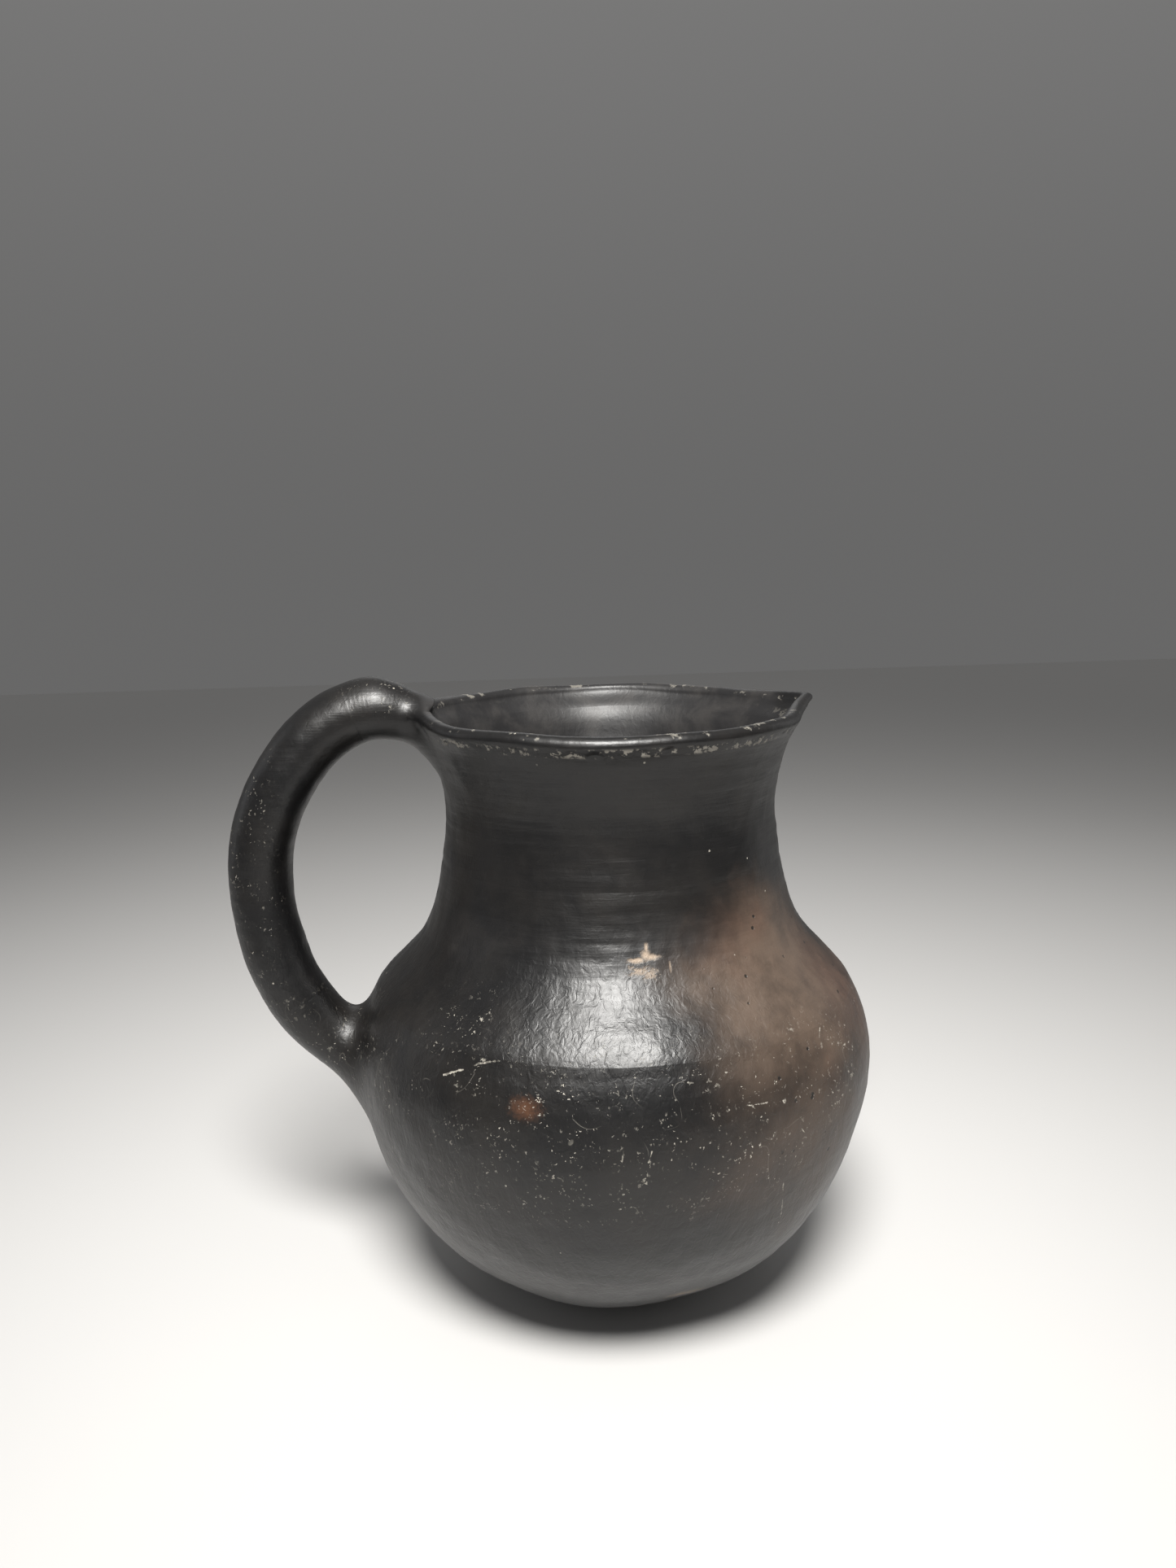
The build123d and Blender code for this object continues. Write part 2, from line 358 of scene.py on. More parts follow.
def slabPiece():
    # the outside of the slab from near its middle, its joint face, and its inside back to the middle
    outer = jugSurface(roundJug, steps(3, joints["slab"][0], 1.4))
    inner = jugSurface(roundJug, steps(joints["slab"][1], wallAt[-1] - 3, jug["innerRowStep"]))
    grid = np.concatenate([outer, jointFace(outer[-1], inner[0]), inner])
    ends = np.array([outer[0].mean(0), inner[-1].mean(0)])
    return gridMesh("baseSlab", "base_slab", grid, poles=ends, sharpRows=(len(outer) - 1, len(outer) + 2))


def bandPiece(name, node, low, high):
    # A ring of clay: its outside going up, the joint face above it, its inside going down, and the
    # joint face below.
    outer = jugSurface(roundJug, steps(joints[low][0], joints[high][0], jug["rowStep"]))
    inner = jugSurface(roundJug, steps(joints[high][1], joints[low][1], jug["innerRowStep"]))
    faces = jointFace(outer[-1], inner[0]), jointFace(inner[-1], outer[0])
    grid = np.concatenate([outer, faces[0], inner, faces[1]])
    marks = (0, len(outer) - 1, len(outer) + 2, len(outer) + 1 + len(inner))
    return gridMesh(name, node, grid, closed=True, sharpRows=marks)


def lipPiece():
    # The finishing coil, as one line from its joint outside, over the crown and down to its joint
    # inside, closed by the joint face.
    over = jugSurface(roundJug, steps(*joints["lip"], jug["lipRowStep"]))
    grid = np.concatenate([over, jointFace(over[-1], over[0])])
    return gridMesh("lipCoil", "lip_coil", grid, closed=True, sharpRows=(0, len(over) - 1))


clay = [
    slabPiece(),
    bandPiece("lowerBowl", "lower_bowl", "slab", "seam"),
    bandPiece("shoulderBand", "shoulder_band", "seam", "nape"),
    bandPiece("neckBand", "neck_band", "nape", "neck"),
    bandPiece("mouthCollar", "mouth_collar", "neck", "lip"),
    lipPiece(),
]

handle = {
    "thickness": 22.8,  # in the plane of the handle
    "width": 25.4,
    "path": [
        (-65.0, 221.5),
        (-75, 226.0),
        (-85.5, 227.8),
        (-97.7, 224.6),
        (-110.0, 215.4),
        (-119.7, 202.6),
        (-127.1, 187.0),
        (-130.3, 165.2),
        (-127.6, 141.2),
        (-120.3, 121.6),
        (-110.4, 107.8),
        (-90.5, 92.0),
    ],
    "topRing": (-93.0, 226.5),  # where the luting clay starts on the coil
    "lowRing": (-119.0, 119.5),
    "slims": (58.0, 87.0),  # between these reaches from the axis it thins out into the lip
    "slimmest": 0.62,
    "thinAtLip": 0.5,  # how much thinner the coil ends, inside the luting clay
    "thinAtBelly": 0.55,
    "sunk": 0.02,
    "rows": 420,
    "columns": 144,
    "wobble": 0.38,
    "quickWobble": 0.12,
    "facets": 0.05,
}
topLuting = {
    "name": "upperLuting",
    "node": "upper_luting",
    "side": 1,  # the coil is followed back to its start
    "middle": along(212.0),
    "down": along(190.0),
    "up": along(rimTop - 2.5, True),  # over the lip and a little down its inside
    "spread": 25.0,
    "fillet": (8.0, 17.0),  # how far the clay is spread, over the lip and under the handle
    "filletHeights": (222.0, 206.0),
    "start": 0.85,  # how straight the clay leaves the coil, and arrives at the wall
    "end": 0.95,
    "rows": 80,
}
lowLuting = {
    "name": "lowerLuting",
    "node": "lower_luting",
    "side": -1,
    "middle": along(92.0),
    "down": along(50.0),
    "up": along(130.0),
    "spread": 28.0,
    "fillet": (11.0, 15.0),
    "filletHeights": (112.0, 84.0),
    "start": 1.0,
    "end": 1.15,
    "rows": 110,
}
luting = {
    "rounds": 14,  # how often a sheet is relaxed
    "coreDepth": 3.0,
    "buried": (0.004, 0.03, 0.5),  # rows within the wall, as shares of the way to the core
    "covered": (0.5, 0.985),  # rows within the coil, as shares of the way out to the ring
}

pathLine = splineThrough(handle["path"], (-0.85, 0.5), (0.85, -0.55), 1200)
reachShift = gripReach - (handle["thickness"] / 2 - pathLine[:, 0].min())
pathLine[:, 0] -= reachShift * smooth(-70, -120, pathLine[:, 0])
pathAt = np.concatenate([[0], np.cumsum(np.linalg.norm(np.diff(pathLine, axis=0), axis=1))])
pathWay = np.gradient(pathLine, pathAt, axis=0)
pathWay /= np.linalg.norm(pathWay, axis=1)[:, None]


def coilPush(place):
    # the low swells of a coil rolled by hand
    return handle["wobble"] * ripples(place, 34, 21) + handle["quickWobble"] * ripples(place, 15, 22)


def coilRing(at, size=1.0, side=-1):
    # An oval round the path. Side says which way round it is counted, so that faces point outwards.
    at = np.atleast_1d(at)[:, None]
    size = np.broadcast_to(size, at.shape[0])[:, None]
    around = np.linspace(0, 2 * np.pi, handle["columns"], endpoint=False)[None]
    x, z = np.interp(at, pathAt, pathLine[:, 0]), np.interp(at, pathAt, pathLine[:, 1])
    wayX, wayZ = np.interp(at, pathAt, pathWay[:, 0]), np.interp(at, pathAt, pathWay[:, 1])
    thick, wide = handle["thickness"] / 2 * size, handle["width"] / 2 * size
    upX, upZ = wayZ * side * np.sin(around), -wayX * side * np.sin(around)
    flat = np.cos(around) + 0 * at
    place = np.stack([x + thick * upX, wide * flat, z + thick * upZ], -1)
    facing = np.stack([upX, flat, upZ], -1)
    push = coilPush(place) + handle["facets"] * ripples(place, 6.5, 23, 20)
    return place + facing * push[..., None]


def nearest(point):
    # how far along the path it comes nearest to a point
    return pathAt[int(np.argmin(np.hypot(*(pathLine - point).T)))]


topAt, lowAt = nearest(handle["topRing"]), nearest(handle["lowRing"])


def handlePiece():
    # The coil runs on inside the luting clay at both ends, thinner there, and ends within the wall.
    at = np.linspace(2, pathAt[-1], handle["rows"])
    thin = 1 - handle["thinAtLip"] * smooth(topAt - 3, 4, at)
    thin = thin - handle["thinAtBelly"] * smooth(lowAt + 2, pathAt[-1], at)
    covered = smooth(topAt + 0.2, topAt - 1, at) + smooth(lowAt - 0.2, lowAt + 1, at)
    thin = thin - handle["sunk"] * covered
    rings = coilRing(at, thin)
    ends = np.array([rings[0].mean(0), rings[-1].mean(0)])
    return gridMesh("handleCoil", "handle", rings, poles=ends)


def wallAway(place):
    # Distance to the jug's wall, below 0 in the clay: across the nearest step of the wall line when it
    # is near, and to that step when it is far. Only steps at about this level are looked at, and of
    # those every seventh.
    angle = np.arctan2(place[..., 1], place[..., 0])
    height = place[..., 2] - rise(angle, place[..., 2])
    radius = np.hypot(place[..., 0], place[..., 1]) / outOfRound(angle, place[..., 2])
    level = (np.abs(wallLine[:, 1] - height.mean()) < 55) & (wallLine[:, 0] > 40)
    near, facing = wallLine[level][::7], wallFacing[level][::7]
    apartR, apartZ = radius[..., None] - near[:, 0], height[..., None] - near[:, 1]
    far = apartR**2 + apartZ**2
    k = far.argmin(-1)[..., None]
    across = (np.take_along_axis(apartR, k, -1) * facing[:, 0][k])[..., 0]
    across += (np.take_along_axis(apartZ, k, -1) * facing[:, 1][k])[..., 0]
    straight = np.sqrt(far.min(-1))
    away = np.where(straight < 3, across, np.sign(across) * straight)
    return away - slowPush(place, place[..., 2])


def coilAway(place):
    # Distance to the coil, from how many of its own half thicknesses a place is from its path. The
    # coil thins out where it ends in the lip.
    near = pathLine[::8]
    apart = (place[..., None, 0] - near[:, 0]) ** 2 + (place[..., None, 2] - near[:, 1]) ** 2
    slim = handle["slimmest"]
    size = slim + (1 - slim) * smooth(*handle["slims"], -place[..., 0])
    thick, wide = handle["thickness"] / 2 * size, handle["width"] / 2 * size
    halves = np.sqrt(apart.min(-1) / thick**2 + (place[..., 1] / wide) ** 2)
    return (halves - 1) * (thick + wide) / 2 - coilPush(place)


def lutedAway(place, how):
    # Distance to the coil and the wall joined by a fillet: the lesser of the two, less a part that is
    # largest where they are equal.
    fillet = np.interp(-place[..., 2], [-height for height in how["filletHeights"]], how["fillet"])
    wall, coil = wallAway(place), coilAway(place)
    share = np.clip(0.5 + 0.5 * (coil - wall) / fillet, 0, 1)
    return coil * (1 - share) + wall * share - fillet * share * (1 - share)


def ontoLuting(place, how):
    # one step along the slope of the distance, to the surface where it is 0
    away = lutedAway(place, how)
    reach = 0.05
    slope = np.stack([lutedAway(place + reach * axis, how) - away for axis in np.eye(3)], -1) / reach
    return place - slope * (away / np.maximum((slope**2).sum(-1), 0.2))[..., None]


def lutingPiece(how, at):
    # A sheet from a ring on the coil to a ring on the wall: first a curve from each place of the one to
    # the other, tangent at both ends. Then the sheet is relaxed, and each time brought back to the
    # filleted surface.
    around = np.linspace(0, 2 * np.pi, handle["columns"], endpoint=False)
    ring = coilRing(at, 1.0, how["side"])[0]
    k = int(np.interp(at, pathAt, np.arange(len(pathAt))))
    way = pathWay[k] * -how["side"]
    leave = np.array([way[0], 0, way[1]])
    middle = how["middle"]
    climb = np.where(np.sin(around) > 0, how["up"] - middle, middle - how["down"]) * np.sin(around)

    def landing(share):
        # the ring on the wall, or one like it nearer its middle
        far = middle + climb * share
        radius = np.interp(far, wallAt, wallLine[:, 0])
        return jugSurface(np.pi - how["spread"] * np.cos(around) * share / radius, far)

    land = landing(1.0)
    arrive = landing(1.04) - landing(0.96)
    arrive /= np.linalg.norm(arrive, axis=1)[:, None]
    gap = np.linalg.norm(land - ring, axis=1)[:, None]
    t = np.linspace(0, 1, how["rows"])[:, None, None]
    grid = (
        (2 * t**3 - 3 * t**2 + 1) * ring
        + (t**3 - 2 * t**2 + t) * leave * gap * how["start"]
        + (3 * t**2 - 2 * t**3) * land
        + (t**3 - t**2) * arrive * gap * how["end"]
    )
    held = (smooth(0, 0.1, t) * smooth(1, 0.9, t))[1:-1]
    for _ in range(luting["rounds"]):
        beside = (np.roll(grid, 1, 1) + np.roll(grid, -1, 1))[1:-1]
        relaxed = 0.4 * grid[1:-1] + 0.15 * (grid[:-2] + grid[2:] + beside)
        grid[1:-1] += held * (ontoLuting(relaxed, how) - grid[1:-1])
    core = jugSurface(np.array([np.pi]), np.array([middle]), -luting["coreDepth"])[0]
    centre = ring.mean(0)
    buried = [land + (core - land) * share for share in luting["buried"]]
    covered = [centre + (ring - centre) * share for share in luting["covered"]]
    edges = len(covered), len(covered) + len(grid) - 1
    grid = np.concatenate([covered, grid, buried])
    return gridMesh(how["name"], how["node"], grid, poles=np.array([centre, core]), sharpRows=edges)


clay += [handlePiece(), lutingPiece(topLuting, topAt), lutingPiece(lowLuting, lowAt)]


class Wire:
    # a socket, so that sums in a material read as sums
    def __init__(self, tree, socket=None):
        self.tree = tree
        self.socket = socket

    def make(self, kind, settings, values, output=0):
        node = self.tree.nodes.new(kind)
        for name, value in settings.items():
            if name == "stops":
                ramp = node.color_ramp
                while len(ramp.elements) < len(value):
                    ramp.elements.new(0.5)
                for element, (position, colour) in zip(ramp.elements, value):
                    element.position, element.color = position, colour
            else:
                setattr(node, name, value)
        for name, value in values.items():
            if isinstance(value, Wire):
                self.tree.links.new(value.socket, node.inputs[name])
            else:
                node.inputs[name].default_value = value
        return Wire(self.tree, node.outputs[output])

    def maths(self, operation, first, second=0.0):
        return self.make("ShaderNodeMath", {"operation": operation}, {0: first, 1: second})

    def __add__(self, other):
        return self.maths("ADD", self, other)

    def __sub__(self, other):
        return self.maths("SUBTRACT", self, other)

    def __rsub__(self, other):
        return self.maths("SUBTRACT", other, self)

    def __mul__(self, other):
        return self.maths("MULTIPLY", self, other)

    def __truediv__(self, other):
        return self.maths("DIVIDE", self, other)

    def __rtruediv__(self, other):
        return self.maths("DIVIDE", other, self)

    def __pow__(self, other):
        return self.maths("POWER", self, other)

    def __abs__(self):
        return self.maths("ABSOLUTE", self)

    __radd__ = __add__
    __rmul__ = __mul__


clayLook = {
    "black": (0.0034, 0.0033, 0.0036, 1),
    "smoke": (0.0100, 0.0087, 0.0077, 1),
    "fire": (0.083, 0.058, 0.0425, 1),
    "fireRed": (0.088, 0.049, 0.033, 1),
    "inside": (0.012, 0.0115, 0.012, 1),
    "insideAsh": (0.028, 0.026, 0.025, 1),
    "tan": (0.34, 0.26, 0.19, 1),
    "ember": (0.20, 0.085, 0.04, 1),
    "scratch": (0.46, 0.43, 0.37, 1),
    "pit": (0.006, 0.005, 0.004, 1),
    "gloss": 0.40,  # roughness where it is burnished best
    "fireGloss": 0.50,
    "innerGloss": 0.44,
    "wornGloss": 0.62,
    "shine": 0.50,  # specular level
    "leatherDepth": 0.23,  # of the dents like leather on the body, in millimetres, as all depths are
    "leatherOnNeck": 0.10,
    "strokeDepth": 0.10,
    "scratchDepth": 0.06,
    "wornDepth": 0.08,
    "pitDepth": 0.28,
    # Spots of all kinds: middle, reach, how soft their edge is, how ragged, and how strong.
    # The fire cloud is brown where the smoke did not reach: the front of the spout side, and round to
    # its back.
    "fireCloud": [
        ((57, -60, 135), (54, 50, 37), 0.6, 0.8, 1.0),
        ((38, -84, 120), (27, 26, 26), 0.9, 0.9, 0.75),
        ((56, -76, 88), (44, 38, 44), 0.9, 1.1, 0.62),
        ((92, -22, 104), (30, 56, 46), 0.8, 1.2, 0.7),
        ((66, 62, 74), (48, 42, 34), 0.9, 1.6, 0.4),
    ],
    "redder": [((88, -26, 120), (34, 40, 44), 0.9, 1.2, 1.0)],
    # a scar of two rough strokes with a scuff below it, and a rub at the foot
    "worn": [
        ((-1.6, -71, 149.6), (3.6, 9, 1.0), 0.8, 1.9, 1.0),
        ((3.4, -71, 150.3), (3.4, 9, 1.1), 0.8, 1.9, 1.0),
        ((1.6, -71, 151.0), (1.9, 9, 1.9), 0.8, 1.5, 1.0),
        ((1.9, -71, 153.2), (0.8, 9, 2.0), 0.8, 1.5, 1.0),
        ((-1.2, -72, 146.6), (3.4, 9, 1.5), 0.8, 4.2, 0.7),
        ((2.6, -72, 145.4), (2.4, 9, 1.6), 0.8, 4.2, 0.6),
        ((9.5, -71, 147.0), (0.5, 9, 2.0), 0.8, 1.8, 0.5),
        ((14.5, -64, 26.5), (8, 12, 3.0), 0.8, 1.6, 0.4),
    ],
    # a place on the belly that the fire reddened
    "embers": [((-40.5, -86.8, 109.5), (5.6, 8, 4.0), 0.95, 1.2, 0.30)],
    # where specks crowd: on the belly, on the shoulder, and at the two roots of the handle
    "crowded": [
        ((-50, -76, 117), (18, 14, 7), 0.7, 0.9, 1.3),
        ((-34, -88, 115), (14, 14, 7), 0.7, 0.9, 1.3),
        ((-44, -84, 100), (26, 22, 8), 0.7, 0.9, 1.3),
        ((-8, -97, 98), (28, 16, 9), 0.7, 0.9, 1.3),
        ((34, -90, 94), (28, 20, 12), 0.7, 0.9, 1.3),
        ((68, -66, 98), (20, 24, 14), 0.7, 0.9, 1.3),
        ((-26, -90, 80), (30, 20, 11), 0.7, 0.9, 1.3),
        ((-58, -57, 131), (15, 15, 13), 0.8, 0.9, 1.0),
        ((-105, -10, 100), (20, 22, 22), 0.8, 0.9, 1.0),
        ((-84, -8, 234), (16, 14, 9), 0.8, 0.9, 0.7),
    ],
    # single scratches: from, to, width
    "scratches": [
        ((-66, -67, 114), (-57, -73, 119), 0.55),
        ((-57, -73, 119), (-48, -77, 122), 0.7),
        ((-38, -87, 119), (-27, -91, 118), 0.7),
        ((-29, -90, 118), (-20, -94, 112), 0.8),
        ((-48, -84, 107), (-36, -90, 104), 0.5),
        ((-11, -97, 99), (-12, -96, 92), 0.6),
        ((-12, -96, 92), (-14, -95, 85), 0.8),
        ((-2, -97, 97), (-3, -97, 94), 0.5),
        ((50, -83, 94), (55, -78, 84), 0.5),
        ((55, -78, 84), (54, -77, 75), 0.4),
        ((44, -84, 76), (44, -78, 58), 0.5),
        ((88, -42, 92), (81, -53, 97), 0.5),
        ((81, -53, 97), (75, -62, 92), 0.4),
        ((24, -93, 108), (40, -88, 106), 0.4),
        ((62, -66, 122), (57, -73, 112), 0.4),
    ],
}

# Height and radius of the middle of the wall, so that the material can tell the inside from the
# outside, and the height and radius that stand for 1 on the ramp.
wallMiddles = [
    (0, 20),
    (10, 42),
    (36, 72),
    (62, 87),
    (92, 93.6),
    (122, 86.3),
    (140, 71),
    (171, 60.4),
    (192, 58.5),
    (218, 65),
    (226, 69),
]
rampHeight, rampRadius = 228, 100


def burnishedClay():
    material = bpy.data.materials.new("burnished black clay")
    material.use_nodes = True
    tree = material.node_tree
    tree.nodes.clear()
    start = Wire(tree)
    spot = start.make("ShaderNodeTexCoord", {}, {}, "Object")
    place = start.make("ShaderNodeVectorMath", {"operation": "SCALE"}, {0: spot, "Scale": 1 / metre})
    x, y, z = (start.make("ShaderNodeSeparateXYZ", {}, {0: place}, axis) for axis in "XYZ")
    radius = (x * x + y * y) ** 0.5

    def step(value, low, high):
        # 0 up to low and 1 from high on, as smooth is for numbers
        settings = {"interpolation_type": "SMOOTHSTEP"}
        return start.make("ShaderNodeMapRange", settings, {0: value, 1: low, 2: high, 3: 0.0, 4: 1.0})

    def either(first, second):
        # the stronger of two masks
        return start.maths("MAXIMUM", first, second)

    def vector(operation, first, second=(0, 0, 0), output=0):
        return start.make("ShaderNodeVectorMath", {"operation": operation}, {0: first, 1: second}, output)

    def scaled(source, size):
        return start.make("ShaderNodeVectorMath", {"operation": "SCALE"}, {0: source, "Scale": size})

    def cloud(size, detail=3.0, roughness=0.55, twist=0.0, shift=(0, 0, 0), source=None):
        where = source or vector("ADD", place, shift)
        values = {"Vector": where, "Scale": 1.0 / size, "Detail": detail, "Roughness": roughness}
        values["Distortion"] = twist
        return start.make("ShaderNodeTexNoise", {"noise_dimensions": "3D"}, values)

    def shaken(size, detail):
        # noise in three directions, -0.5 to 0.5 in each
        values = {"Vector": place, "Scale": 1.0 / size, "Detail": detail}
        return vector("SUBTRACT", start.make("ShaderNodeTexNoise", {}, values, 1), (0.5, 0.5, 0.5))

    def spots(rows, warp):
        # 1 inside egg shapes round their middles, fading to 0 over the soft part of their reach
        total = None
        for middle, reach, soft, ragged, strength in rows:
            reaches = vector("DIVIDE", vector("SUBTRACT", place, middle), reach)
            far = vector("LENGTH", reaches, output="Value") + (warp - 0.5) * ragged
            each = (1.0 - step(far, 1.0 - soft, 1.0 + soft * 0.3)) * strength
            total = each if total is None else either(total, each)
        return total

    def specks(size, reach, share, shift=(0, 0, 0), source=None):
        # small dots, of which only a share of the cells has one, each of its own size
        values = {"Vector": vector("ADD", source or place, shift), "Scale": 1.0 / size, "Randomness": 1.0}
        away = start.make("ShaderNodeTexVoronoi", {"feature": "F1"}, values, "Distance")
        colour = start.make("ShaderNodeTexVoronoi", {"feature": "F1"}, values, "Color")
        draw = start.make("ShaderNodeSeparateColor", {}, {0: colour})
        chosen = step(draw, 1.0 - share, 1.0 - share * 0.7)
        return chosen * (1.0 - step(away * size / (reach * (0.4 + draw * 0.6)), 0.7, 1.1))

    def stroke(first, last, wide, source, uneven):
        # how near a place is to the line from first to last, as a mark of that width
        span = np.subtract(last, first)
        apart = vector("SUBTRACT", source, first)
        share = vector("DOT_PRODUCT", apart, tuple(span / (span @ span)), "Value")
        share = start.make("ShaderNodeMath", {"operation": "ADD", "use_clamp": True}, {0: share, 1: 0.0})
        near = vector("DISTANCE", apart, scaled(tuple(span), share), "Value")
        return 1.0 - step(near + (uneven - 0.5) * 1.1, wide * 0.22, wide * 0.68)

    def mixed(share, first, second):
        settings = {"data_type": "RGBA", "blend_type": "MIX"}
        return start.make("ShaderNodeMix", settings, {"Factor": share, 6: first, 7: second}, 2)

    slow = cloud(48, 3.0)
    mottle = cloud(15, 4.0, 0.6, 0.3)
    fine = cloud(2.6, 3.0, 0.6)
    warp = cloud(26, 4.0, 0.62, 0.4, (40, 10, 5))
    patchy = cloud(9.0, 4.0, 0.65, 0.0, (11, 9, 60))
    front = step(0.0 - y, -10.0, 50.0)

    # where it is the inside of the jug: nearer the axis than the middle of the wall
    stops = [(height / rampHeight, (reach / rampRadius,) * 3 + (1,)) for height, reach in wallMiddles]
    levels = start.make("ShaderNodeValToRGB", {"stops": stops}, {0: z / rampHeight})
    wallMiddle = start.make("ShaderNodeRGBToBW", {}, {0: levels}) * rampRadius
    isInside = 1.0 - step(radius, wallMiddle - 1.5, wallMiddle + 1.5)
    outside = 1.0 - isInside

    # smoke black, with the brown fire cloud, and greyer inside
    fire = spots(clayLook["fireCloud"], warp) * outside * (0.60 + 0.40 * step(mottle, 0.30, 0.62))
    redder = either(spots(clayLook["redder"], mottle), step(slow, 0.50, 0.66) * 0.6)
    colour = mixed(step(slow * 0.6 + mottle * 0.4, 0.38, 0.72), clayLook["black"], clayLook["smoke"])
    colour = mixed(fire, colour, mixed(redder, clayLook["fire"], clayLook["fireRed"]))
    inner = mixed(step(mottle, 0.40, 0.72), clayLook["inside"], clayLook["insideAsh"])
    colour = mixed(isInside, colour, inner)

    # worn spots, where pale clay shows
    ragged = cloud(1.6, 3.0, 0.7, 0.0, (2, 5, 1))
    worn = spots(clayLook["worn"], ragged)
    ember = spots(clayLook["embers"], ragged)

    # Where specks are: in a belt round the belly, at the places in the table, and down the outside of
    # the handle. They crowd along wandering lines.
    belt = (1.0 - step(abs(z - 99.0), 12.0, 36.0)) * (0.25 + 0.75 * front)
    belt = belt * step(cloud(30, 2.0, 0.5, 0.0, (7, 3, 90)), 0.38, 0.54)
    places = either(either(belt, spots(clayLook["crowded"], mottle)), step(0.0 - x, 116.0, 130.0) * 0.6)
    netA = cloud(24, 1.5, 0.5, 0.3, (3, 60, 22))
    netB = cloud(13, 2.0, 0.55, 0.4, (80, 4, 41))
    crowd = either(1.0 - step(abs(netA - 0.5), 0.006, 0.035), 1.0 - step(abs(netB - 0.48), 0.008, 0.045))
    crowd = either(crowd, 0.35) * step(patchy, 0.42, 0.56)

    # the marks: specks, dust all over, hair lines that break off, and the single scratches
    crumbled = vector("ADD", place, scaled(shaken(1 / 0.75, 2.0), 4.0))
    dots = either(specks(1.5, 0.40, 0.55, source=crumbled), specks(2.9, 0.75, 0.5, (3, 1, 7), crumbled))
    loose = specks(2.2, 0.42, 0.22, (9, 4, 4), crumbled) * step(patchy, 0.40, 0.60)
    dust = specks(8.0, 0.45, 0.22, (30, 2, 9)) * 0.7
    hair = 1.0 - step(abs(netA - 0.5), 0.0008, 0.0030)
    hair = hair * step(cloud(12, 2.0, 0.5, 0.0, (50, 9, 6)), 0.50, 0.56) * belt * 0.2
    marks = either(either(dots * crowd * places, loose * places), either(dust, hair))
    shaky = scaled(shaken(10, 2.0), 3.0)
    wandering = vector("ADD", place, shaky)
    faint = 0.4 + 0.6 * step(fine, 0.42, 0.56)
    for scratch in clayLook["scratches"]:
        marks = either(marks, stroke(*scratch, wandering, ragged) * faint)
    marks = marks * outside

    # the lip is rubbed along its lower outer edge, mostly at the front, and a little along its top
    underRim = z - (rimTop - 5.4) - y * (jug["lean"] / rimRadius)
    rubbed = (1.0 - step(abs(underRim), 0.7, 2.0)) * step(radius, 64.0, 66.0)
    rubbed = rubbed * step(cloud(3.4, 3.0, 0.65, 0.0, (9, 2, 2)), 0.52, 0.60) * (0.10 + 0.65 * front)
    topEdge = (1.0 - step(abs(underRim - 5.0), 0.5, 1.3)) * step(cloud(5.0, 3.0, 0.65), 0.58, 0.66) * 0.4
    marks = either(marks, either(rubbed, topEdge) * step(x, -68.0, -60.0))

    pits = specks(6.5, 0.9, 0.7, (2, 8, 14)) * either(step(fire, 0.25, 0.5), 0.06) * outside
    colour = mixed(worn * (0.55 + 0.45 * step(ragged, 0.40, 0.55)), colour, clayLook["tan"])
    colour = mixed(ember, colour, clayLook["ember"])
    colour = mixed(marks * (0.45 + 0.55 * fine), colour, clayLook["scratch"])
    colour = mixed(pits * 0.9, colour, clayLook["pit"])

    # Burnishing leaves fine strokes round the neck, and short slanting dents like leather lower down.
    strokeCloud = cloud(1.0, 3.0, 0.55, 0.2, source=vector("MULTIPLY", place, (0.05, 0.05, 0.55)))
    slanting = vector("ADD", vector("MULTIPLY", place, (0.42, 0.42, 0.24)), scaled(shaky, 0.3))
    leather = cloud(1.0, 3.0, 0.55, 0.9, source=slanting)
    onNeck = step(z, 138.0, 156.0)
    gloss = clayLook["gloss"]
    rough = gloss + 0.12 * (mottle - 0.5) + 0.10 * (strokeCloud - 0.5) + 0.06 * (fine - 0.5)
    rough = rough + fire * (clayLook["fireGloss"] - gloss) + isInside * (clayLook["innerGloss"] - gloss)
    rough = rough + either(marks, worn) * (clayLook["wornGloss"] - gloss)

    lessOnNeck = clayLook["leatherDepth"] - clayLook["leatherOnNeck"]
    relief = leather * (clayLook["leatherDepth"] - lessOnNeck * onNeck)
    relief = relief + clayLook["strokeDepth"] * strokeCloud * outside * (0.4 + onNeck)
    relief = relief + 0.02 * fine + 0.06 * mottle
    relief = relief - clayLook["scratchDepth"] * marks - clayLook["wornDepth"] * worn
    relief = relief - clayLook["pitDepth"] * pits
    bump = start.make("ShaderNodeBump", {}, {"Height": relief, "Distance": metre, "Strength": 1.0})
    values = {
        "Base Color": colour,
        "Roughness": rough,
        "Normal": bump,
        "IOR": 1.5,
        "Specular IOR Level": clayLook["shine"],
    }
    skin = start.make("ShaderNodeBsdfPrincipled", {}, values)
    output = tree.nodes.new("ShaderNodeOutputMaterial")
    tree.links.new(skin.socket, output.inputs["Surface"])
    return material


clayMaterial = burnishedClay()
for piece in clay:
    piece.data.materials.append(clayMaterial)
print("clay finished")

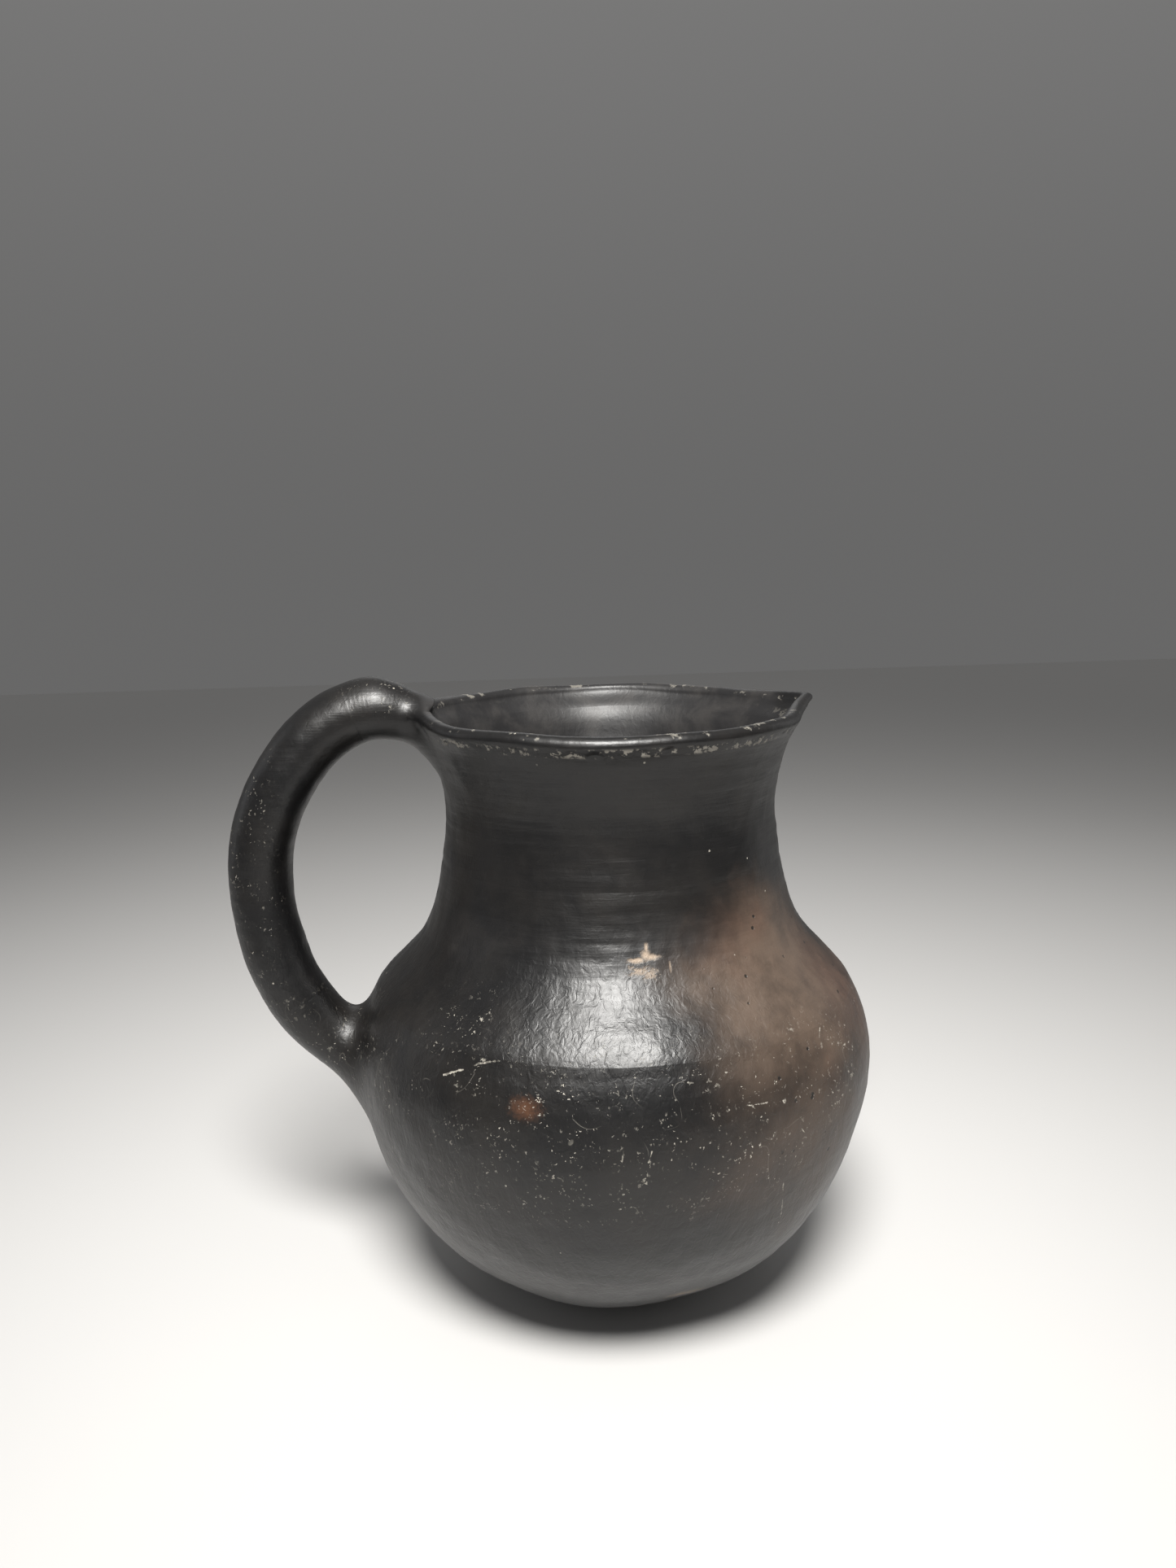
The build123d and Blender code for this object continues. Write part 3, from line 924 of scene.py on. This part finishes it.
studio = {
    "floorHalf": 3.0,
    "floorHeight": -0.0003,  # just under the jug's foot
    "floorRoughness": 0.8,
    "floor": (0.54, 0.535, 0.53, 1),
    "horizon": (0.138, 0.137, 0.136, 1),
    "overhead": (0.25, 0.248, 0.245, 1),
    "lights": [
        # name, place, target, width, height, watts, beam in degrees, colour
        ("key", (-0.09, -0.67, 1.01), (0, 0, 0.13), 0.44, 0.36, 5.4, 75, (1.0, 0.985, 0.955)),
        ("top", (0.0, -0.10, 1.30), (0, 0, 0.10), 0.80, 0.60, 0.35, 120, (1.0, 0.99, 0.97)),
        ("left", (-1.05, 0.35, 0.40), (0, 0, 0.12), 0.5, 1.0, 0.2, 100, (0.97, 0.98, 1.0)),
        ("right", (1.05, 0.45, 0.40), (0, 0, 0.12), 0.5, 1.0, 0.2, 100, (1.0, 0.98, 0.96)),
        ("back", (0.10, 1.15, 0.80), (0, 0, 0.15), 0.9, 0.6, 0.25, 90, (1.0, 1.0, 1.0)),
    ],
}


def floorPiece():
    mesh = bpy.data.meshes.new("floor")
    size, height = studio["floorHalf"], studio["floorHeight"]
    square = ((-size, -size), (size, -size), (size, size), (-size, size))
    mesh.from_pydata([(x, y, height) for x, y in square], [], [(0, 1, 2, 3)])
    piece = bpy.data.objects.new("floor", mesh)
    bpy.context.scene.collection.objects.link(piece)
    material = bpy.data.materials.new("pale floor")
    material.use_nodes = True
    skin = material.node_tree.nodes["Principled BSDF"]
    skin.inputs["Base Color"].default_value = studio["floor"]
    skin.inputs["Roughness"].default_value = studio["floorRoughness"]
    mesh.materials.append(material)


def placed(right, up, back, place):
    # the matrix that turns an object's own axes to right, up and back, and moves it to a place
    matrix = Matrix.Identity(4)
    for row in range(3):
        for column, axis in enumerate((right, up, back, place)):
            matrix[row][column] = axis[row]
    return matrix


def lookFrom(place, target):
    back = np.array(place, float) - np.array(target, float)
    back /= np.linalg.norm(back)
    right = np.cross((0, 0, 1), back)
    right /= np.linalg.norm(right)
    return placed(right, np.cross(back, right), back, place)


floorPiece()
for name, place, target, width, height, watts, beam, colour in studio["lights"]:
    lamp = bpy.data.lights.new(name, "AREA")
    lamp.shape, lamp.size, lamp.size_y = "ELLIPSE", width, height
    lamp.energy, lamp.spread, lamp.color = watts, np.radians(beam), colour
    holder = bpy.data.objects.new(name, lamp)
    holder.matrix_world = lookFrom(place, target)
    bpy.context.scene.collection.objects.link(holder)

# a plain sky, a little brighter overhead
world = bpy.data.worlds.new("studio")
world.use_nodes = True
sky = Wire(world.node_tree)
direction = sky.make("ShaderNodeTexCoord", {}, {}, "Generated")
upwards = sky.make("ShaderNodeSeparateXYZ", {}, {0: direction}, "Z")
climb = sky.make("ShaderNodeMapRange", {"interpolation_type": "SMOOTHSTEP"}, {0: upwards, 1: 0.0, 2: 0.9})
skyColours = {"Factor": climb, 6: studio["horizon"], 7: studio["overhead"]}
tint = sky.make("ShaderNodeMix", {"data_type": "RGBA"}, skyColours, 2)
world.node_tree.links.new(tint.socket, world.node_tree.nodes["Background"].inputs[0])
bpy.context.scene.world = world
bpy.context.scene.view_settings.view_transform = "Standard"  # keeps the black clay black
print("studio lit by", len(studio["lights"]), "lamps")

view = {
    "distance": 0.4244,
    "height": 0.2702,
    "around": -8.0,  # degrees, as all the turns are
    "pitch": 9.86,
    "yaw": -1.06,
    "roll": -1.24,
    "lens": 26.15,
    "sensor": 36.0,
}


def cameraPiece():
    # The camera stands on a circle round the jug and looks a little down, turned and tilted a little as
    # it is when held in the hand.
    pitch, yaw, roll, around = np.radians([view[name] for name in ("pitch", "yaw", "roll", "around")])
    ahead = np.array([np.sin(yaw) * np.cos(pitch), np.cos(yaw) * np.cos(pitch), -np.sin(pitch)])
    right = np.array([np.cos(yaw), -np.sin(yaw), 0])
    up = np.cross(right, ahead)
    right, up = right * np.cos(roll) + up * np.sin(roll), -right * np.sin(roll) + up * np.cos(roll)
    turned = np.array([[np.cos(around), -np.sin(around), 0], [np.sin(around), np.cos(around), 0], [0, 0, 1]])
    place = turned @ np.array([0, -view["distance"], view["height"]])
    lens = bpy.data.cameras.new("camera")
    lens.lens, lens.sensor_width = view["lens"], view["sensor"]
    holder = bpy.data.objects.new("camera", lens)
    holder.matrix_world = placed(turned @ right, turned @ up, turned @ -ahead, place)
    bpy.context.scene.collection.objects.link(holder)
    bpy.context.scene.camera = holder


cameraPiece()
